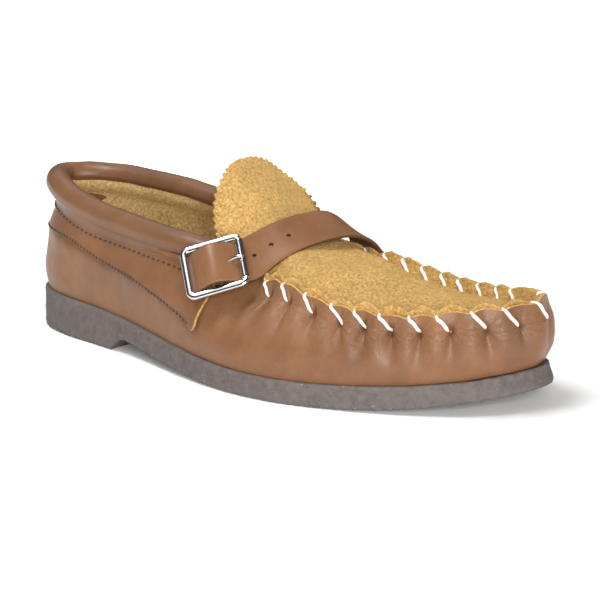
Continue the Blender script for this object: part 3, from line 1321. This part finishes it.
def strap():
    line = [(x, SOLE_LENGTH / 2 - s, z) for (x, s, z), _ in STRAP_LINE]
    count = 300
    path = through(line, count)
    widths = np.array([flipped(w) for _, w in STRAP_LINE])
    nearest = [np.argmin(np.linalg.norm(path - np.array(p), axis=1)) for p in line]
    width = np.stack([np.interp(np.arange(count), nearest, widths[:, i]) for i in range(3)], axis=-1)
    tangent = unit(np.gradient(path, axis=0))
    width = unit(width - tangent * (width * tangent).sum(axis=1)[:, None])
    up = np.cross(tangent, width)
    up *= np.sign((up * np.array([-0.3, -0.2, 1.0])).sum(axis=1))[:, None]
    tip = np.sqrt(np.clip(1 - (1 - np.clip(distances(path) / 4.5, 0, 1)) ** 2.4, 0.02, 1))
    across = np.linspace(-1, 1, 34)
    rim = 1 - abs(across) ** 14
    top, low = [], []
    inside = np.exp(-((np.arange(count) - nearest[3]) / (nearest[4] - nearest[2]) * 1.2) ** 4)
    for i in range(count):
        cup = 0.7 * inside[i] * (1 - across ** 2) + 0.25 * (across ** 2 - 0.5)
        half = STRAP_HALF * tip[i]
        base = path[i] + np.outer(across * half, width[i]) + np.outer(cup, up[i])
        thick = np.outer(STRAP_THICK / 2 * (0.70 + 0.30 * rim), up[i])
        top.append(base + thick)
        low.append(base - thick)
    lattice = np.concatenate([np.array(top), np.array(low)[:, ::-1]], axis=1)
    n, m = lattice.shape[:2]
    lattice[:, :, 2] += roughness(lattice, 18.0, 0.35, 61)
    faces = tube_faces(n, m)
    which = [0 if (i % m) < len(across) - 1 else 1 for i in range(len(faces))]
    made = piece("instep_strap", lattice, faces, [STRAP_LEATHER, DARK_EDGE],
                 which=which)
    places = [nearest[k] + (nearest[k + 1] - nearest[k]) * share for k, share in HOLES]
    punch(made, [int(round(at)) for at in places], path, tangent, width, up)
    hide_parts("strap")


strap()


# section of the chape as (along, out): under the quarter, round the middle bar and back
CHAPE_LINE = [(-14.2, -7.4), (-11.5, -6.7), (-8.5, -5.9), (-4.5, -4.3), (-2.2, -2.3), (-1.9, -0.2),
              (-1.0, 1.55), (0.4, 1.85), (1.7, 0.9), (2.0, -0.8), (1.2, -2.5), (-1.2, -4.3),
              (-5.0, -6.6), (-9, -7.9), (-11.5, -8.3), (-14.2, -8.6)]
CHAPE_HALVES = [(-9.4, -1.6), (1.6, 9.4)]   # its two sides, with the prong's slot between them


def chape():
    line = through(CHAPE_LINE, 90)
    ahead = unit(np.gradient(line, axis=0))
    normal = np.stack([-ahead[:, 1], ahead[:, 0]], axis=-1)
    parts = []
    for low, high in CHAPE_HALVES:
        across = np.linspace(low, high, 12)
        rim = 1 - abs(np.linspace(-1, 1, 12)) ** 8
        sheets = []
        for sign in (1, -1):
            off = 0.5 * (0.4 + 0.6 * rim) * sign
            x = line[:, :1] + normal[:, :1] * off[None, :]
            z = line[:, 1:] + normal[:, 1:] * off[None, :]
            sheets.append(buckle_point(x, across[None, :] + 0 * x, z))
        lattice = np.concatenate([sheets[0], sheets[1][:, ::-1]], axis=1)
        n, m = lattice.shape[:2]
        parts.append((lattice.reshape(-1, 3), tube_faces(n, m), np.zeros((n * m, 2))))
    points, faces, uv = join_parts(parts)
    made = piece("buckle_chape", points, faces, [STRAP_LEATHER], uv=uv)
    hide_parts("chape")


chape()

# ---- hidden CAD nodes -----------------------------------------------------------------------------
for node_name, look in (("bottom_filler", FOAM), ("insole_board", BOARD), ("footbed_foam", FOAM),
                        ("collar_foam", FOAM), ("heel_counter", BOARD)):
    for place_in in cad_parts[node_name].material_slots:
        place_in.material = look

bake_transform(apron_piece)

# ---- floor and light ------------------------------------------------------------------------------
FLOOR_HALF = 40.0          # metres
FLOOR_DOWN = -0.0002       # just under the tread, in metres
floor_look = Look("studio_floor")
floor_look.set(Base_Color=(0.93, 0.93, 0.93, 1), Roughness=0.75, Specular_IOR_Level=0.15)
distance = floor_look.node("ShaderNodeVectorMath", operation="LENGTH")
floor_look.join(floor_look.where, "Object", distance, 0)
# the floor brightens away from the shoe, into a white backdrop
glow = floor_look.node("ShaderNodeMapRange", {"From Min": 0.17, "From Max": 0.50, "To Min": 0.05,
                                              "To Max": 0.80})
floor_look.join(distance, "Value", glow, "Value")
floor_look.set(Emission_Color=(1, 1, 1, 1))
floor_look.join(glow, "Result", floor_look.shader, "Emission Strength")
floor_mesh = bpy.data.meshes.new("floor")
floor_corners = [(x * FLOOR_HALF, y * FLOOR_HALF, 0) for x, y in ((-1, -1), (1, -1), (1, 1), (-1, 1))]
floor_mesh.from_pydata(floor_corners, [], [(0, 1, 2, 3)])
floor_mesh.materials.append(floor_look.material)
floor = added("floor", floor_mesh)
floor.location.z = FLOOR_DOWN

AMBIENT, REFLECTED = 0.30, 0.08   # the studio's walls as light, and as gloss shows them
world = bpy.data.worlds.new("studio")
world.use_nodes = True
background = world.node_tree.nodes["Background"]
background.inputs["Color"].default_value = (1.0, 0.98, 0.95, 1)
ray = world.node_tree.nodes.new("ShaderNodeLightPath")
studio = world.node_tree.nodes.new("ShaderNodeMapRange")
studio.inputs["To Min"].default_value = AMBIENT
studio.inputs["To Max"].default_value = REFLECTED
world.node_tree.links.new(ray.outputs["Is Glossy Ray"], studio.inputs["Value"])
world.node_tree.links.new(studio.outputs["Result"], background.inputs["Strength"])
bpy.context.scene.world = world
bpy.context.scene.view_settings.view_transform = "Standard"


def softbox(name, at, towards, size, power):
    """A rectangular light: places and sizes in metres, power in watts."""
    light = bpy.data.lights.new(name, "AREA")
    light.shape = "RECTANGLE"
    light.size, light.size_y = size
    light.energy = power
    lamp = added(name, light)
    lamp.location = at
    lamp.rotation_euler = (Vector(towards) - Vector(at)).to_track_quat("-Z", "Y").to_euler()


softbox("key", (-0.30, 0.25, 1.20), (0.0, 0.0, 0.03), (0.5, 0.5), 10.5)
softbox("top", (-0.62, 0.10, 1.02), (0.0, 0.0, 0.05), (0.35, 0.5), 0.7)
softbox("side", (-0.80, -0.90, 0.36), (0.0, -0.05, 0.04), (0.7, 0.40), 14.0)
softbox("rim", (0.7, 0.7, 1.0), (0.0, 0.0, 0.05), (0.9, 0.5), 1.5)
